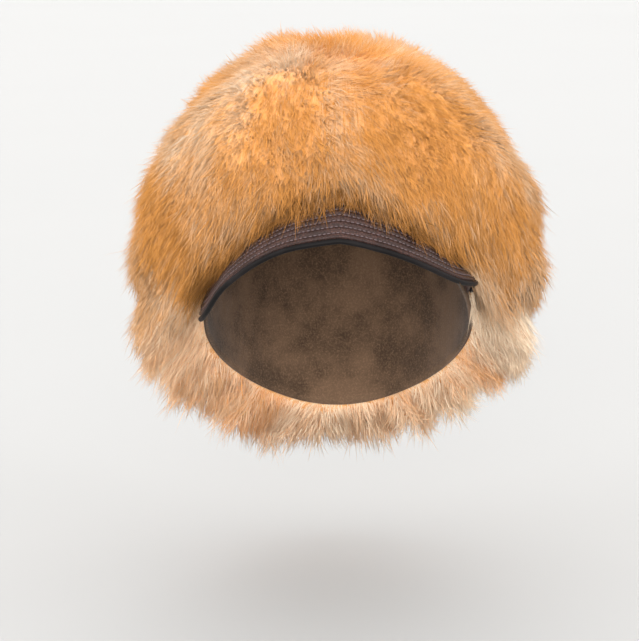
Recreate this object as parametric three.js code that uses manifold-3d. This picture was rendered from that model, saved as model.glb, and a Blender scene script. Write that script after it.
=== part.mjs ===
// A round sheepskin hat with deep shaggy fur, long ear and nape flaps and a small stitched leather peak.
// It is shaped as it is worn: the face opening arches from the forehead, down past the temples and ears,
// to the hem at the nape. Millimetres and degrees, +Z up, the face looks along -Y, and the origin is the
// middle of the crown's inside, where the top of the head touches it.
import * as THREE from "three";
import { mergeVertices } from "three/addons/utils/BufferGeometryUtils.js";
import Module from "manifold-3d";

// The head that the skin goes round, and the skin itself
const headWidth = 155;
const headLength = 195;
const crownDepth = 90; // from the top of the head down to the headline, where the head is widest
const crownFullness = 2.3; // exponent of the dome: 2 is an ellipsoid, and more is fuller
const skinThickness = 2.5;
const seamGap = 0.3; // between pieces that are sewn or glued to each other
const flapTaper = 0.2; // how far the nape hem draws in under the back of the head, as a share of its radius
const flapDepth = 110; // from the headline down to the nape hem

// The face opening's edge, from the middle of the forehead to the nape
const foreheadEdge = 40; // below the top of the head
const napeEdge = crownDepth + flapDepth;
const archExponent = 0.708; // under 1, the edge falls early, past the temples

// The coat: hair that stands off the skin and droops. along is 0 at the apex and 1 at the headline,
// and droop is 0 where the hair stands straight off the skin.
const coatRows = [
  { along: 0, length: 37, droop: 0 },
  { along: 0.35, length: 42, droop: 0.02 },
  { along: 0.7, length: 49, droop: 0.12 },
  { along: 1, length: 52, droop: 0.4 },
  { along: 1.4, length: 52, droop: 0.75 },
  { along: 2, length: 50, droop: 1 },
];

// Over the peak the coat starts a little above the opening's edge, and lies out along the peak.
const browHair = { length: 46, droop: 1.05, setback: 0.06, fadeStart: 0.05, fadeEnd: 0.42 };
const browTurn = { full: 56, none: 78 }; // degrees from the front

// Where the coat swells or parts. height is below the top of the head, spread is a radius on the coat.
const coatSwells = [
  { name: "left cheek hollow", azimuth: -128, height: 188, spread: 26, stretch: -0.06 },
  { name: "right ear tuft", azimuth: 88, height: 112, spread: 20, stretch: 0.14 },
  { name: "right ear parting", azimuth: 94, height: 146, spread: 14, stretch: -0.25 },
  { name: "right cheek", azimuth: 112, height: 172, spread: 38, stretch: -0.42 },
  { name: "front of the crown", azimuth: 0, height: 30, spread: 60, stretch: 0.04 },
  { name: "nape", azimuth: 180, height: 200, spread: 45, stretch: 0.12 },
];

// The near part of the hair is one thick mass, and free locks stand out of it. Shares are of the hair.
const massShare = 0.68;
const massUnevenness = 0.11;
const lock = { start: 0.32, across: 19, through: 12, lean: 0.6, unevenSize: 0.14, unevenLength: 0.06 };
const lockRings = { step: 0.165, spacing: 25, oval: 1.13, jitter: 0.18, hemMargin: 0.1 };
const hemLocks = { count: 34, inset: 0.05, insetOverPeak: 0.13 };

// The peak's outer edge: how far it stands out from the opening's edge, and how far it hangs below it.
// The two ends fell differently in wear: one droops and the other is flicked up.
const peakRows = [
  { azimuth: -66, reach: 4, drop: 14 },
  { azimuth: -54, reach: 14, drop: 25 },
  { azimuth: -43, reach: 25, drop: 31 },
  { azimuth: -31, reach: 33, drop: 24 },
  { azimuth: -15, reach: 39, drop: 20 },
  { azimuth: 0, reach: 41, drop: 23 },
  { azimuth: 15, reach: 39, drop: 22 },
  { azimuth: 31, reach: 33, drop: 21 },
  { azimuth: 43, reach: 25, drop: 14 },
  { azimuth: 54, reach: 14, drop: 4 },
  { azimuth: 66, reach: 4, drop: -3 },
];
const peakThickness = 3;
const peakCamber = 0.06; // how far the middle of its width bulges up, as a share of that width
const peakRootLift = 3; // the sewn edge lies this far above the opening's edge
const pipingRadius = 1.5;
const peakClearance = { aboveAndBelow: 0.9, beyondEdge: 1.5, pastEnds: 4 }; // room for it in the fur
const cutOverlap = 10; // how far a piece runs into what cuts it back

// How finely the curved faces are cut
const turnSteps = 36;
const downSteps = 10;
const peakSteps = 24;
const pipingSteps = 30;
const lockSides = 4;

const wasm = await Module();
wasm.setup();

const mix = THREE.MathUtils.lerp;
const smooth = THREE.MathUtils.smoothstep;
const degrees = THREE.MathUtils.degToRad;
const down = new THREE.Vector3(0, 0, -1);
const headlineZ = -crownDepth;

// Azimuths are measured from the front (-Y), growing towards +X, in radians from -PI to PI.
// "along" runs down the skin: 0 at the apex, 1 at the headline, then on down the flap.
function edgeHeight(azimuth) {
  const turned = (1 - Math.cos(azimuth)) / 2;
  return -mix(foreheadEdge, napeEdge, turned ** archExponent);
}

function alongAtHeight(z) {
  if (z < headlineZ) return 1 + (headlineZ - z) / flapDepth;
  const rise = (z - headlineZ) / crownDepth;
  return Math.acos(rise ** (crownFullness / 2)) / (Math.PI / 2);
}

function edgeAlong(azimuth) {
  return alongAtHeight(edgeHeight(azimuth));
}

// The head form's radius share and height share at a place along the skin
function meridian(along) {
  if (along >= 1) {
    const fall = along - 1;
    return { width: 1 - flapTaper * fall * fall, height: 0, fall: fall * flapDepth };
  }
  const angle = (along * Math.PI) / 2;
  return {
    width: Math.sin(angle) ** (2 / crownFullness),
    height: Math.cos(angle) ** (2 / crownFullness),
    fall: 0,
  };
}

// A point of the skin, offset outwards from its inner face
function skinPoint(azimuth, along, offset) {
  const { width, height, fall } = meridian(along);
  return new THREE.Vector3(
    (headWidth / 2 + offset) * width * Math.sin(azimuth),
    -(headLength / 2 + offset) * width * Math.cos(azimuth),
    headlineZ + (crownDepth + offset) * height - fall,
  );
}

function skinNormal(azimuth, along) {
  const { width, height } = meridian(along);
  const radial = width ** (crownFullness - 1);
  return new THREE.Vector3(
    (radial * Math.sin(azimuth)) / headWidth,
    (-radial * Math.cos(azimuth)) / headLength,
    height ** (crownFullness - 1) / (2 * crownDepth),
  ).normalize();
}

// How much an azimuth belongs to the brow, where the coat lies out over the peak
function browShare(azimuth) {
  return 1 - smooth(Math.abs(azimuth), degrees(browTurn.full), degrees(browTurn.none));
}

// Where the coat ends, which is the skin's own edge except over the peak
function coatEdgeAlong(azimuth) {
  return edgeAlong(azimuth) - browHair.setback * browShare(azimuth);
}

function swellAt(point) {
  let stretch = 0;
  for (const swell of coatSwells) {
    const along = alongAtHeight(-swell.height);
    const centre = skinPoint(degrees(swell.azimuth), along, skinThickness);
    stretch += swell.stretch * Math.exp(-point.distanceToSquared(centre) / swell.spread ** 2);
  }
  return 1 + stretch;
}

// The coat's length and droop between two rows of its table
function coatAt(along) {
  const next = Math.max(1, coatRows.findIndex((row) => row.along >= along));
  const [upper, lower] = [coatRows[next - 1], coatRows[next]];
  const share = (along - upper.along) / (lower.along - upper.along);
  return {
    length: mix(upper.length, lower.length, share),
    droop: mix(upper.droop, lower.droop, share),
  };
}

// The hair at a place of the skin: where it starts, and the straight line from its root to its tip.
// Over the peak its root lies under the head form's face, so that the form cuts it off cleanly.
function hairAt(azimuth, along, lean = 0) {
  const front = browShare(azimuth);
  const root = skinPoint(azimuth, along, skinThickness + seamGap * (1 - 2 * front));
  const aboveEdge = coatEdgeAlong(azimuth) - along;
  const brow = front * (1 - smooth(aboveEdge, browHair.fadeStart, browHair.fadeEnd));
  const coat = coatAt(along);
  const length = mix(coat.length, browHair.length, brow) * swellAt(root);
  const droop = mix(coat.droop + lean * Math.min(1, along), browHair.droop, brow);
  const line = skinNormal(azimuth, along).addScaledVector(down, droop).setLength(length);
  return { root, line };
}

// Turns a closed geometry into a solid, keeping its positions alone
function solidOf(geometry) {
  const bare = new THREE.BufferGeometry();
  bare.setAttribute("position", geometry.getAttribute("position"));
  bare.setIndex(geometry.index);
  const merged = mergeVertices(bare, 1e-3);
  const mesh = new wasm.Mesh({
    numProp: 3,
    vertProperties: new Float32Array(merged.getAttribute("position").array),
    triVerts: new Uint32Array(merged.index.array),
  });
  return new wasm.Manifold(mesh);
}

function geometryOf(solid) {
  const mesh = solid.getMesh();
  const geometry = new THREE.BufferGeometry();
  geometry.setAttribute("position", new THREE.BufferAttribute(mesh.vertProperties, 3));
  geometry.setIndex(new THREE.BufferAttribute(mesh.triVerts, 1));
  geometry.computeVertexNormals();
  return geometry;
}

// Only the largest body: the tips of locks that a cut leaves loose are dropped
function largest(solid) {
  return solid.decompose().sort((a, b) => b.volume() - a.volume())[0];
}

// Moves each vertex of a geometry to the point that place(x, y, z) gives
function reshape(geometry, place) {
  const positions = geometry.getAttribute("position");
  for (let i = 0; i < positions.count; i += 1) {
    const point = place(positions.getX(i), positions.getY(i), positions.getZ(i));
    positions.setXYZ(i, point.x, point.y, point.z);
  }
  return geometry;
}

// A lathe whose profile holds (share of the way down, layer) is wrapped onto the hat by
// wrap(azimuth, share, layer).
function wrapped(profile, wrap) {
  const lathe = new THREE.LatheGeometry(profile, turnSteps);
  return reshape(lathe, (x, layer, z) => wrap(Math.atan2(x, z), Math.hypot(x, z), layer));
}

const shares = Array.from({ length: downSteps + 1 }, (_, i) => i / downSteps);
const downLayer = (layer) => shares.map((share) => new THREE.Vector2(share, layer));
const upLayer = (layer) => downLayer(layer).reverse();
const underside = new THREE.Vector2(0, -1); // the layer of the one point where a filled form closes

// The skin's wall: down its inner face, across the opening's edge and up its outer face
function skinWall() {
  const profile = [...downLayer(0), ...upLayer(skinThickness)];
  return solidOf(
    wrapped(profile, (azimuth, share, offset) =>
      skinPoint(azimuth, share * edgeAlong(azimuth), offset),
    ),
  );
}

// The skin's outer face with the gap round it, filled in underneath to a point well below the hem
function headForm() {
  const profile = [underside, ...upLayer(skinThickness + seamGap)];
  return solidOf(
    wrapped(profile, (azimuth, share, layer) => {
      if (layer === underside.y) return new THREE.Vector3(0, 0, 3 * headlineZ);
      return skinPoint(azimuth, share * edgeAlong(azimuth), layer);
    }),
  );
}

// The ring of space below the sewn line between crown and flap. Through the fur it follows the hair.
function belowHeadline(gap) {
  const seam = headlineZ - gap;
  const bottom = 4 * headlineZ;
  const outside = 2 * coatAt(1).length;
  const inside = -headWidth / 4;
  const profile = [
    [inside, bottom],
    [outside, bottom],
    [outside, seam - coatAt(1).droop * outside],
    [skinThickness, seam],
    [inside, seam],
    [inside, bottom],
  ].map(([offset, z]) => new THREE.Vector2(headWidth / 2 + offset, z));
  const lathe = new THREE.LatheGeometry(profile, turnSteps);
  const lengthen = (headLength - headWidth) / 2;
  return solidOf(
    reshape(lathe, (x, z, y) => {
      const azimuth = Math.atan2(x, y);
      return new THREE.Vector3(x, -y - lengthen * Math.cos(azimuth), z);
    }),
  );
}

// A repeatable stand-in for chance, from -1 to 1
function chance(seed) {
  const wave = Math.sin(seed * 127.1 + 311.7) * 43758.5453;
  return 2 * (wave - Math.floor(wave)) - 1;
}

// One flat tapered lock, which starts inside the mass and droops out of it
function lockSolid(azimuth, along, seed) {
  const { root, line } = hairAt(azimuth, along, lock.lean);
  const ahead = line.clone().normalize();
  const sideways = new THREE.Vector3(Math.cos(azimuth), Math.sin(azimuth), 0);
  const through = new THREE.Vector3().crossVectors(sideways, ahead).normalize();
  const across = new THREE.Vector3().crossVectors(ahead, through);
  const start = root.addScaledVector(line, lock.start);
  const reach = line.length() * (1 - lock.start + lock.unevenLength * chance(seed + 0.7));
  const size = 1 + lock.unevenSize * chance(seed);
  return solidOf(
    reshape(new THREE.ConeGeometry(1, 1, lockSides, 1), (x, y, z) =>
      start
        .clone()
        .addScaledVector(ahead, reach * (y + 0.5))
        .addScaledVector(across, x * lock.across * size)
        .addScaledVector(through, z * lock.through * size),
    ),
  );
}

// One ring of locks round the coat, as far as the coat reaches down at each azimuth
function lockRing(ring) {
  const along = ring * lockRings.step;
  const coatRadius = skinPoint(Math.PI / 2, along, massShare * coatAt(along).length).x;
  const count = Math.round((2 * Math.PI * coatRadius * lockRings.oval) / lockRings.spacing);
  const made = [];
  for (let i = 0; i < count; i += 1) {
    const seed = 100 * ring + i;
    const place = (i + 0.5 * (ring % 2) + lockRings.jitter * chance(seed + 0.4)) / count;
    const azimuth = Math.PI * (2 * place - 1);
    const inCoat = along < coatEdgeAlong(azimuth) - lockRings.hemMargin;
    if (inCoat) made.push(lockSolid(azimuth, along, seed));
  }
  return made;
}

// Locks in staggered rings from the apex to the lowest hem, then one row that follows the edge
function locks() {
  const made = [];
  const lastRing = Math.floor(edgeAlong(Math.PI) / lockRings.step);
  for (let ring = 1; ring <= lastRing; ring += 1) made.push(...lockRing(ring));
  for (let i = 0; i < hemLocks.count; i += 1) {
    const azimuth = Math.PI * ((2 * i + 1) / hemLocks.count - 1);
    const inset = mix(hemLocks.inset, hemLocks.insetOverPeak, browShare(azimuth));
    made.push(lockSolid(azimuth, coatEdgeAlong(azimuth) - inset, 5000 + i));
  }
  return made;
}

// Each corner of the mass's outside stands a little higher or lower than its neighbours
function massTop(azimuth, share) {
  const column = Math.round((azimuth / (2 * Math.PI) + 1) * turnSteps) % turnSteps;
  const row = Math.round(share * downSteps);
  return massShare + (row === 0 ? 0 : massUnevenness * chance(column * 7.3 + row * 13.1));
}

// The thick mass and its locks, filled in underneath, less the head form that they grow on
function furCoat() {
  const profile = [underside, new THREE.Vector2(1, 0), ...upLayer(1)];
  const mass = solidOf(
    wrapped(profile, (azimuth, share, layer) => {
      if (layer === underside.y) return new THREE.Vector3(0, 0, headlineZ);
      const { root, line } = hairAt(azimuth, share * coatEdgeAlong(azimuth));
      return root.addScaledVector(line, layer * massTop(azimuth, share));
    }),
  );
  return wasm.Manifold.union([mass, ...locks()]).subtract(headForm());
}

// The peak's outer edge as a smooth curve through its rows, from one end (t = 0) to the other (t = 1)
const peakCurve = new THREE.CatmullRomCurve3(
  peakRows.map(({ azimuth, reach, drop }) => new THREE.Vector3(degrees(azimuth), reach, drop)),
);

function peakRoot(t) {
  const azimuth = peakCurve.getPoint(t).x;
  const edge = skinPoint(azimuth, edgeAlong(azimuth), skinThickness);
  return edge.addScaledVector(down, -peakRootLift);
}

function peakOuter(t) {
  const row = peakCurve.getPoint(t);
  const outward = skinNormal(row.x, 1);
  return peakRoot(t).addScaledVector(outward, row.y).addScaledVector(down, row.z + peakRootLift);
}

function peakWidth(t) {
  return peakOuter(t).distanceTo(peakRoot(t));
}

// A place on the peak: t from end to end, reach from the sewn root outwards, and layer up from its middle
function peakPoint(t, reach, layer) {
  const nearby = 0.02;
  const tangent = peakOuter(Math.min(1, t + nearby)).sub(peakOuter(Math.max(0, t - nearby)));
  const root = peakRoot(t);
  const ahead = peakOuter(t).sub(root).normalize();
  const upward = new THREE.Vector3().crossVectors(ahead, tangent).normalize();
  const share = THREE.MathUtils.clamp(reach / peakWidth(t), 0, 1);
  const camber = peakCamber * peakWidth(t) * 4 * share * (1 - share);
  return root.addScaledVector(ahead, reach).addScaledVector(upward, layer + camber);
}

// A slab bent along the peak's curve, from inside the skin to beyond its outer edge or short of it.
// pastEnds lengthens the two ends.
function peakSlab(thickness, beyondEdge, pastEnds) {
  const slab = new THREE.BoxGeometry(1, 1, 1, peakSteps, 4, 1);
  return solidOf(
    reshape(slab, (x, y, z) => {
      const t = x + 0.5;
      const reach = mix(-cutOverlap, peakWidth(t) + beyondEdge, y + 0.5);
      const point = peakPoint(t, reach, -z * thickness);
      if (Math.abs(x) < 0.5) return point;
      const inward = peakPoint(0.5 + 0.98 * x, reach, -z * thickness).sub(point).normalize();
      return point.addScaledVector(inward, -pastEnds);
    }),
  );
}

// The leather stops where the piping starts, and its root is cut back to the skin
function peakLeather() {
  return peakSlab(peakThickness, -2 * pipingRadius - seamGap, 0).subtract(headForm());
}

// The room that the peak and its piping need in the fur
function peakRoom() {
  const thickness = 2 * (pipingRadius + peakClearance.aboveAndBelow);
  return peakSlab(thickness, peakClearance.beyondEdge, peakClearance.pastEnds);
}

function pipingGeometry() {
  const places = Array.from({ length: peakSteps + 1 }, (_, i) => i / peakSteps);
  const line = places.map((t) => peakPoint(t, peakWidth(t) - pipingRadius, 0));
  const circle = new THREE.Shape();
  circle.absarc(0, 0, pipingRadius, 0, 2 * Math.PI);
  return new THREE.ExtrudeGeometry(circle, {
    extrudePath: new THREE.CatmullRomCurve3(line),
    steps: pipingSteps,
    curveSegments: 4,
    bevelEnabled: false,
  });
}

const suede = { color: 0x4a3526, roughness: 0.95, metalness: 0 };
const dyedFur = { color: 0xe0a062, roughness: 1, metalness: 0 };
const glossyLeather = { color: 0x3b2420, roughness: 0.38, metalness: 0 };
const blackLeather = { color: 0x1d1719, roughness: 0.4, metalness: 0 };

function piece(name, geometry, finish) {
  const mesh = new THREE.Mesh(geometry, new THREE.MeshStandardMaterial(finish));
  mesh.name = name;
  return mesh;
}

const crownSide = belowHeadline(0);
const flapSide = belowHeadline(seamGap);
const skin = skinWall();
const fur = furCoat().subtract(peakRoom());

const hat = new THREE.Group();
hat.add(
  piece("crown_skin", geometryOf(skin.subtract(crownSide)), suede),
  piece("flap_skin", geometryOf(skin.intersect(flapSide)), suede),
  piece("crown_fur", geometryOf(largest(fur.subtract(crownSide))), dyedFur),
  piece("flap_fur", geometryOf(largest(fur.intersect(flapSide))), dyedFur),
  piece("peak", geometryOf(peakLeather()), glossyLeather),
  piece("peak_piping", pipingGeometry(), blackLeather),
);

export default hat;
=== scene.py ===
"""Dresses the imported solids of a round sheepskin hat: deep dyed fur, napped suede and a stitched peak."""

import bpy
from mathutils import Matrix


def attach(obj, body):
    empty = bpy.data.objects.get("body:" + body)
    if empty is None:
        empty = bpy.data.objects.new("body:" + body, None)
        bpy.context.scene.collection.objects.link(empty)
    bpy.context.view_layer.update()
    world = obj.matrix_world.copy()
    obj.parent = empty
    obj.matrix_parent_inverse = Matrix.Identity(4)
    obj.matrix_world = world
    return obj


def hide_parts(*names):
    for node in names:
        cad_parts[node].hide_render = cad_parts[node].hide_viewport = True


bl_info = {
    "name": "Sheepskin Hat",
    "version": (1, 0, 0),
    "blender": (4, 5, 0),
    "location": "View3D > Sidebar > Sheepskin Hat",
    "description": "Grows the fur, sews the peak and sets the stage for a round sheepskin hat",
    "category": "Object",
}

import math

import bmesh
import bpy
import numpy as np
from bpy.props import FloatProperty, FloatVectorProperty, IntProperty, PointerProperty
from mathutils import Matrix, Vector
from mathutils.bvhtree import BVHTree

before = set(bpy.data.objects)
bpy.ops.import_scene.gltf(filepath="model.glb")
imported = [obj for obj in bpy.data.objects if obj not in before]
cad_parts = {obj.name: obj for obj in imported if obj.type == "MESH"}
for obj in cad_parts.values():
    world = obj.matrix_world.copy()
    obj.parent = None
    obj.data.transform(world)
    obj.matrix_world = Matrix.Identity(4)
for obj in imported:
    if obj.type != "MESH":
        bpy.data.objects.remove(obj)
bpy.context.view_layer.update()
MM = 0.001

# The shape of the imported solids, in metres. Azimuths are measured from the front, growing towards +X.
INNER_WIDTH, INNER_LENGTH = 0.155, 0.195
CROWN_DEPTH = 0.090
CROWN_FULLNESS = 2.3  # exponent of the crown's rounding: 2 is an ellipse, and more is squarer
SKIN_THICKNESS = 0.0025
SEAM_GAP = 0.0003
FLAP_TAPER = 0.2
FLAP_DEPTH = 0.110
BROW_EDGE = 0.040
NAPE_EDGE = CROWN_DEPTH + FLAP_DEPTH
ARCH_EXPONENT = 0.708  # how the opening's edge rises from the nape to the brow
SEAM_LEVEL = -CROWN_DEPTH

# The coat: where along the skin, how long the hair is and how far it droops
COAT_ALONG = (0, 0.35, 0.7, 1, 1.4, 2)
COAT_LENGTH = (0.037, 0.042, 0.049, 0.052, 0.052, 0.050)
COAT_DROOP = (0, 0.02, 0.12, 0.4, 0.75, 1)

# The hair that lies out over the peak: its length, its droop, how far it stops short of the skin's edge, and
# where it fades into the rest of the coat, up the skin and around the hat
BROW_LENGTH, BROW_DROOP, BROW_SETBACK = 0.046, 1.05, 0.06
BROW_FADE = (0.05, 0.42)
BROW_TURN = (math.radians(56), math.radians(78))

# The azimuths beside the opening, where the hair is kept out of it
OPENING_SIDE_START = (math.radians(42), math.radians(58))
OPENING_SIDE_END = (math.radians(115), math.radians(145))

# Soft round patches of the coat. Each row is an azimuth in degrees, a height below the crown's inner top and
# a spread in metres, and how strong the patch is. These are where the solids' hair is longer or shorter:
COAT_SWELLS = (
    (-128, 0.188, 0.026, -0.06),
    (88, 0.112, 0.020, 0.14),
    (94, 0.146, 0.014, -0.25),
    (112, 0.172, 0.038, -0.42),
    (0, 0.030, 0.060, 0.04),
    (180, 0.200, 0.045, 0.12),
)

# The peak's rows, in degrees and millimetres: azimuth, how far it stands out and how far it hangs
PEAK_ROWS = (
    (-66, 4, 14),
    (-54, 14, 25),
    (-43, 25, 31),
    (-31, 33, 24),
    (-15, 39, 20),
    (0, 41, 23),
    (15, 39, 22),
    (31, 33, 21),
    (43, 25, 14),
    (54, 14, 4),
    (66, 4, -3),
)
PEAK_CAMBER = 0.06  # how far the peak bulges, as a share of its width
PEAK_ROOT_LIFT = 0.003

# Patches where the dye took well or badly
DYE_PATCHES = (
    (24, 0.021, 0.020, 0.24),
    (42, 0.026, 0.018, 0.18),
    (28, 0.032, 0.012, 0.24),
    (57, 0.048, 0.014, 0.26),
    (66, 0.066, 0.016, 0.26),
    (0, 0.011, 0.014, 0.20),
    (-21, 0.011, 0.016, 0.18),
    (-36, 0.028, 0.018, 0.26),
    (-62, 0.060, 0.026, 0.34),
    (30, 0.012, 0.014, -0.10),
    (-54, 0.013, 0.017, -0.50),
    (-60, 0.034, 0.012, -0.24),
    (-42, 0.054, 0.010, -0.14),
    (-4, 0.026, 0.014, -0.20),
    (72, 0.055, 0.013, -0.24),
    (46, 0.069, 0.011, -0.36),
    (53, 0.084, 0.013, -0.26),
    (64, 0.078, 0.010, 0.16),
    (-67, 0.098, 0.024, -0.44),
    (72, 0.112, 0.024, -0.64),
    (92, 0.132, 0.024, -0.54),
    (132, 0.154, 0.028, -0.56),
    (142, 0.176, 0.034, -0.40),
    (-84, 0.130, 0.026, -0.22),
    (-115, 0.158, 0.030, -0.24),
    (-142, 0.166, 0.032, -0.40),
    (180, 0.200, 0.035, -0.25),
    (-46, 0.006, 0.016, -0.30),
)
DYE_BASE = 0.70

# Patches where the soft coat lies flatter or fuller than its solid
LOFT_PATCHES = (
    (-95, 0.036, 0.036, -0.22),
    (95, 0.032, 0.038, -0.21),
    (-102, 0.006, 0.020, -0.10),
    (102, 0.006, 0.018, -0.08),
    (86, 0.112, 0.018, -0.32),
    (102, 0.154, 0.022, 0.30),
    (128, 0.176, 0.022, 0.20),
)

# Patches where the wool curls
CURL_PATCHES = (
    (114, 0.130, 0.045, 1.3),
    (140, 0.165, 0.045, 1.0),
    (-130, 0.170, 0.035, 0.5),
    (180, 0.180, 0.060, 0.4),
)

# The kinds of strand: the dense short pile, straight fuzz in it, and longer finer wisps that stand out of
# it. Steps are shares of the way to the tip, with a taper for each. Width and stretch are shares of the
# usual strand's, and spread, sunk and sway are in metres. Uneven length is the chance that a tuft's strands
# share, and each strand's own.
PILE = {
    "steps": (0, 0.55, 1),
    "taper": (1, 0.85, 0),
    "width": 1.0,
    "spread": 0.0016,
    "sunk": 0.004,
    "stretch": 1.0,
    "uneven_length": (0.13, 0.13),
    "tuft_lean": 0.17,
    "strand_lean": 0.13,
    "pinch": (0.35, 0.95),
    "curl": 0.4,
    "turns": 0.5,
    "sway": 0.0014,
}
FUZZ = {
    "steps": (0, 1),
    "taper": (1, 0),
    "width": 0.8,
    "spread": 0.0019,
    "sunk": 0.003,
    "stretch": 0.85,
    "uneven_length": (0.12, 0.18),
    "tuft_lean": 0.17,
    "strand_lean": 0.22,
    "pinch": (-0.2, 0.5),
    "curl": 0.0,
    "turns": 0.0,
    "sway": 0.0,
}
WISPS = {
    "steps": (0, 0.3, 0.55, 0.8, 1),
    "taper": (1, 0.95, 0.8, 0.5, 0),
    "width": 0.7,
    "spread": 0.0022,
    "sunk": 0.004,
    "stretch": 1.2,
    "uneven_length": (0.1, 0.16),
    "tuft_lean": 0.17,
    "strand_lean": 0.2,
    "pinch": (0.0, 0.5),
    "curl": 0.45,
    "turns": 0.95,
    "sway": 0.0022,
}


def smoothstep(value, low, high):
    share = np.clip((value - low) / (high - low), 0, 1)
    return share * share * (3 - 2 * share)


def unit(vectors):
    return vectors / np.linalg.norm(vectors, axis=-1, keepdims=True)


def blend(a, b, share):
    return a + (b - a) * share


def along_at_height(z):
    """How far down the skin a height lies: 0 at the apex, 1 at the seam, then on down the flap."""
    rise = np.clip((z - SEAM_LEVEL) / CROWN_DEPTH, 0, 1)
    crown = np.arccos(rise ** (CROWN_FULLNESS / 2)) / (math.pi / 2)
    return np.where(z < SEAM_LEVEL, 1 + (SEAM_LEVEL - z) / FLAP_DEPTH, crown)


def edge_along(azimuth):
    """Where the opening's edge runs, from the middle of the brow to the nape."""
    turned = (1 - np.cos(azimuth)) / 2
    return along_at_height(-blend(BROW_EDGE, NAPE_EDGE, turned**ARCH_EXPONENT))


def meridian(along):
    """The skin's width and height at a place, as shares of the crown's, and how far it is below the seam."""
    angle = np.clip(along, 0, 1) * math.pi / 2
    fall = np.clip(along - 1, 0, None)
    width = np.where(along >= 1, 1 - FLAP_TAPER * fall**2, np.sin(angle) ** (2 / CROWN_FULLNESS))
    height = np.where(along >= 1, 0, np.cos(angle) ** (2 / CROWN_FULLNESS))
    return width, height, fall * FLAP_DEPTH


def skin_point(azimuth, along, offset):
    """A point of the skin, offset outwards from its inner face."""
    width, height, fall = meridian(along)
    x = (INNER_WIDTH / 2 + offset) * width * np.sin(azimuth)
    y = -(INNER_LENGTH / 2 + offset) * width * np.cos(azimuth)
    z = SEAM_LEVEL + (CROWN_DEPTH + offset) * height - fall
    return np.stack(np.broadcast_arrays(x, y, z), axis=-1)


def skin_normal(azimuth, along):
    width, height, _ = meridian(along)
    radial = width ** (CROWN_FULLNESS - 1)
    x = radial * np.sin(azimuth) / INNER_WIDTH
    y = -radial * np.cos(azimuth) / INNER_LENGTH
    z = height ** (CROWN_FULLNESS - 1) / (2 * CROWN_DEPTH)
    return unit(np.stack(np.broadcast_arrays(x, y, z), axis=-1))


def brow_share(azimuth):
    """How much an azimuth belongs to the brow, where the coat lies out over the peak."""
    return 1 - smoothstep(np.abs(azimuth), *BROW_TURN)


def coat_edge_along(azimuth):
    """Where the coat ends: at the skin's edge, and a little above it over the peak."""
    return edge_along(azimuth) - BROW_SETBACK * brow_share(azimuth)


def field_at(points, patches):
    """The sum of soft round patches at some points of the skin."""
    total = np.zeros(points.shape[:-1])
    for azimuth, height, spread, strength in patches:
        along = along_at_height(np.array(-height))
        centre = skin_point(math.radians(azimuth), along, SKIN_THICKNESS)
        total += strength * np.exp(-((points - centre) ** 2).sum(-1) / spread**2)
    return total


def brow_at(azimuth, along, fade=BROW_FADE):
    """How far a place of the skin belongs to the hair that lies out over the peak."""
    return brow_share(azimuth) * (1 - smoothstep(coat_edge_along(azimuth) - along, *fade))


def hair_at(azimuth, along, lean=0.0):
    """Where the hair at a place of the skin starts, and the straight line from its root to its tip."""
    root = skin_point(azimuth, along, SKIN_THICKNESS + SEAM_GAP)
    brow = brow_at(azimuth, along)
    length = blend(np.interp(along, COAT_ALONG, COAT_LENGTH), BROW_LENGTH, brow)
    droop = np.interp(along, COAT_ALONG, COAT_DROOP) + lean * np.minimum(1, along)
    droop = blend(droop, BROW_DROOP, brow)
    line = skin_normal(azimuth, along)
    line = line - np.stack((0 * droop, 0 * droop, droop), axis=-1)
    return root, unit(line) * (length * (1 + field_at(root, COAT_SWELLS)))[..., None]


def out_of_the_opening(points):
    """The points, moved out to the skin's outer face where they would lie inside it."""
    least_reach = 0.05  # keeps the division sound near the hat's axis
    width = meridian(along_at_height(points[..., 2]))[0]
    reach = np.hypot(
        points[..., 0] / (INNER_WIDTH / 2 + SKIN_THICKNESS + SEAM_GAP),
        points[..., 1] / (INNER_LENGTH / 2 + SKIN_THICKNESS + SEAM_GAP),
    )
    moved = points.copy()
    moved[..., :2] *= np.maximum(1, width / np.maximum(reach, least_reach))[..., None]
    return moved


def curve_point(rows, t):
    """A point of a smooth curve through some rows, as the part's own curve gives it."""
    rows = np.array(rows, float)
    rows[:, 0] = np.radians(rows[:, 0])
    place = t * (len(rows) - 1)
    start = min(int(place), len(rows) - 2)
    before = rows[start - 1] if start > 0 else 2 * rows[0] - rows[1]
    after = rows[start + 2] if start + 2 < len(rows) else 2 * rows[-1] - rows[-2]
    points = (before, rows[start], rows[start + 1], after)
    gaps = [math.sqrt(np.linalg.norm(b - a)) for a, b in zip(points, points[1:])]
    slopes = [(b - a) / gap for a, b, gap in zip(points, points[1:], gaps)]
    wide = [(points[i + 2] - points[i]) / (gaps[i] + gaps[i + 1]) for i in (0, 1)]
    leave = (slopes[0] - wide[0] + slopes[1]) * gaps[1]
    arrive = (slopes[1] - wide[1] + slopes[2]) * gaps[1]
    share = place - start
    step = points[2] - points[1]
    bend = 3 * step - 2 * leave - arrive
    twist = leave + arrive - 2 * step
    return points[1] + leave * share + bend * share**2 + twist * share**3


def peak_edge(t):
    """The peak's sewn root and its outer edge at a place from one end (t = 0) to the other (t = 1)."""
    azimuth, reach, drop = curve_point(PEAK_ROWS, t)
    root = skin_point(azimuth, edge_along(azimuth), SKIN_THICKNESS) + (0, 0, PEAK_ROOT_LIFT)
    outer = root + skin_normal(azimuth, np.array(1.0)) * reach * MM
    return root, outer - (0, 0, drop * MM + PEAK_ROOT_LIFT)


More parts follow.
